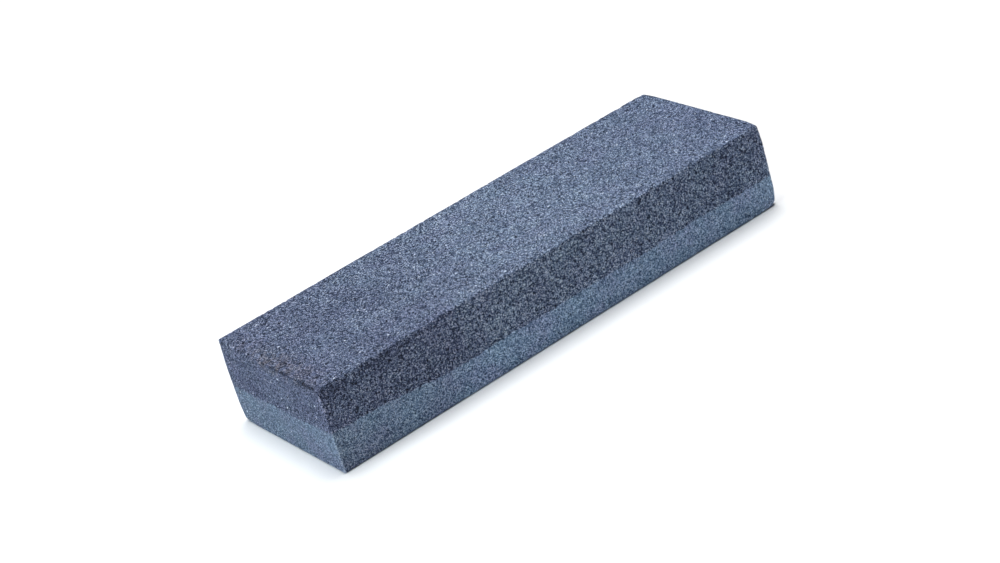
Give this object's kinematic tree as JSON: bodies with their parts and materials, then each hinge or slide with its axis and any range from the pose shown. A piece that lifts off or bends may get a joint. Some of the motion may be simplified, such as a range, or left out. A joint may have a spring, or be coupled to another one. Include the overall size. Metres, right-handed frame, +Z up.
{
  "type": "sharpening whetstone",
  "caption": "Rectangular two-layer combination whetstone: a coarse abrasive layer fired onto a finer one along an uneven seam, flat working faces, worn edges.",
  "frame": {"origin": "centre of the resting face, on the fine layer's underside", "axes": "+X along the stone's length, +Y across its width, +Z up through the thickness from the fine layer to the coarse layer"},
  "size_m": [0.15, 0.05, 0.025],
  "materials": {
    "coarse_grit": "rough open grain, dark slate blue-grey speckle with pale glints",
    "fine_grit": "matt close grain, lighter slate blue-grey speckle"
  },
  "bodies": {
    "root": {"coarse_grit_layer": "coarse_grit", "fine_grit_layer": "fine_grit"}
  },
  "joints": []
}
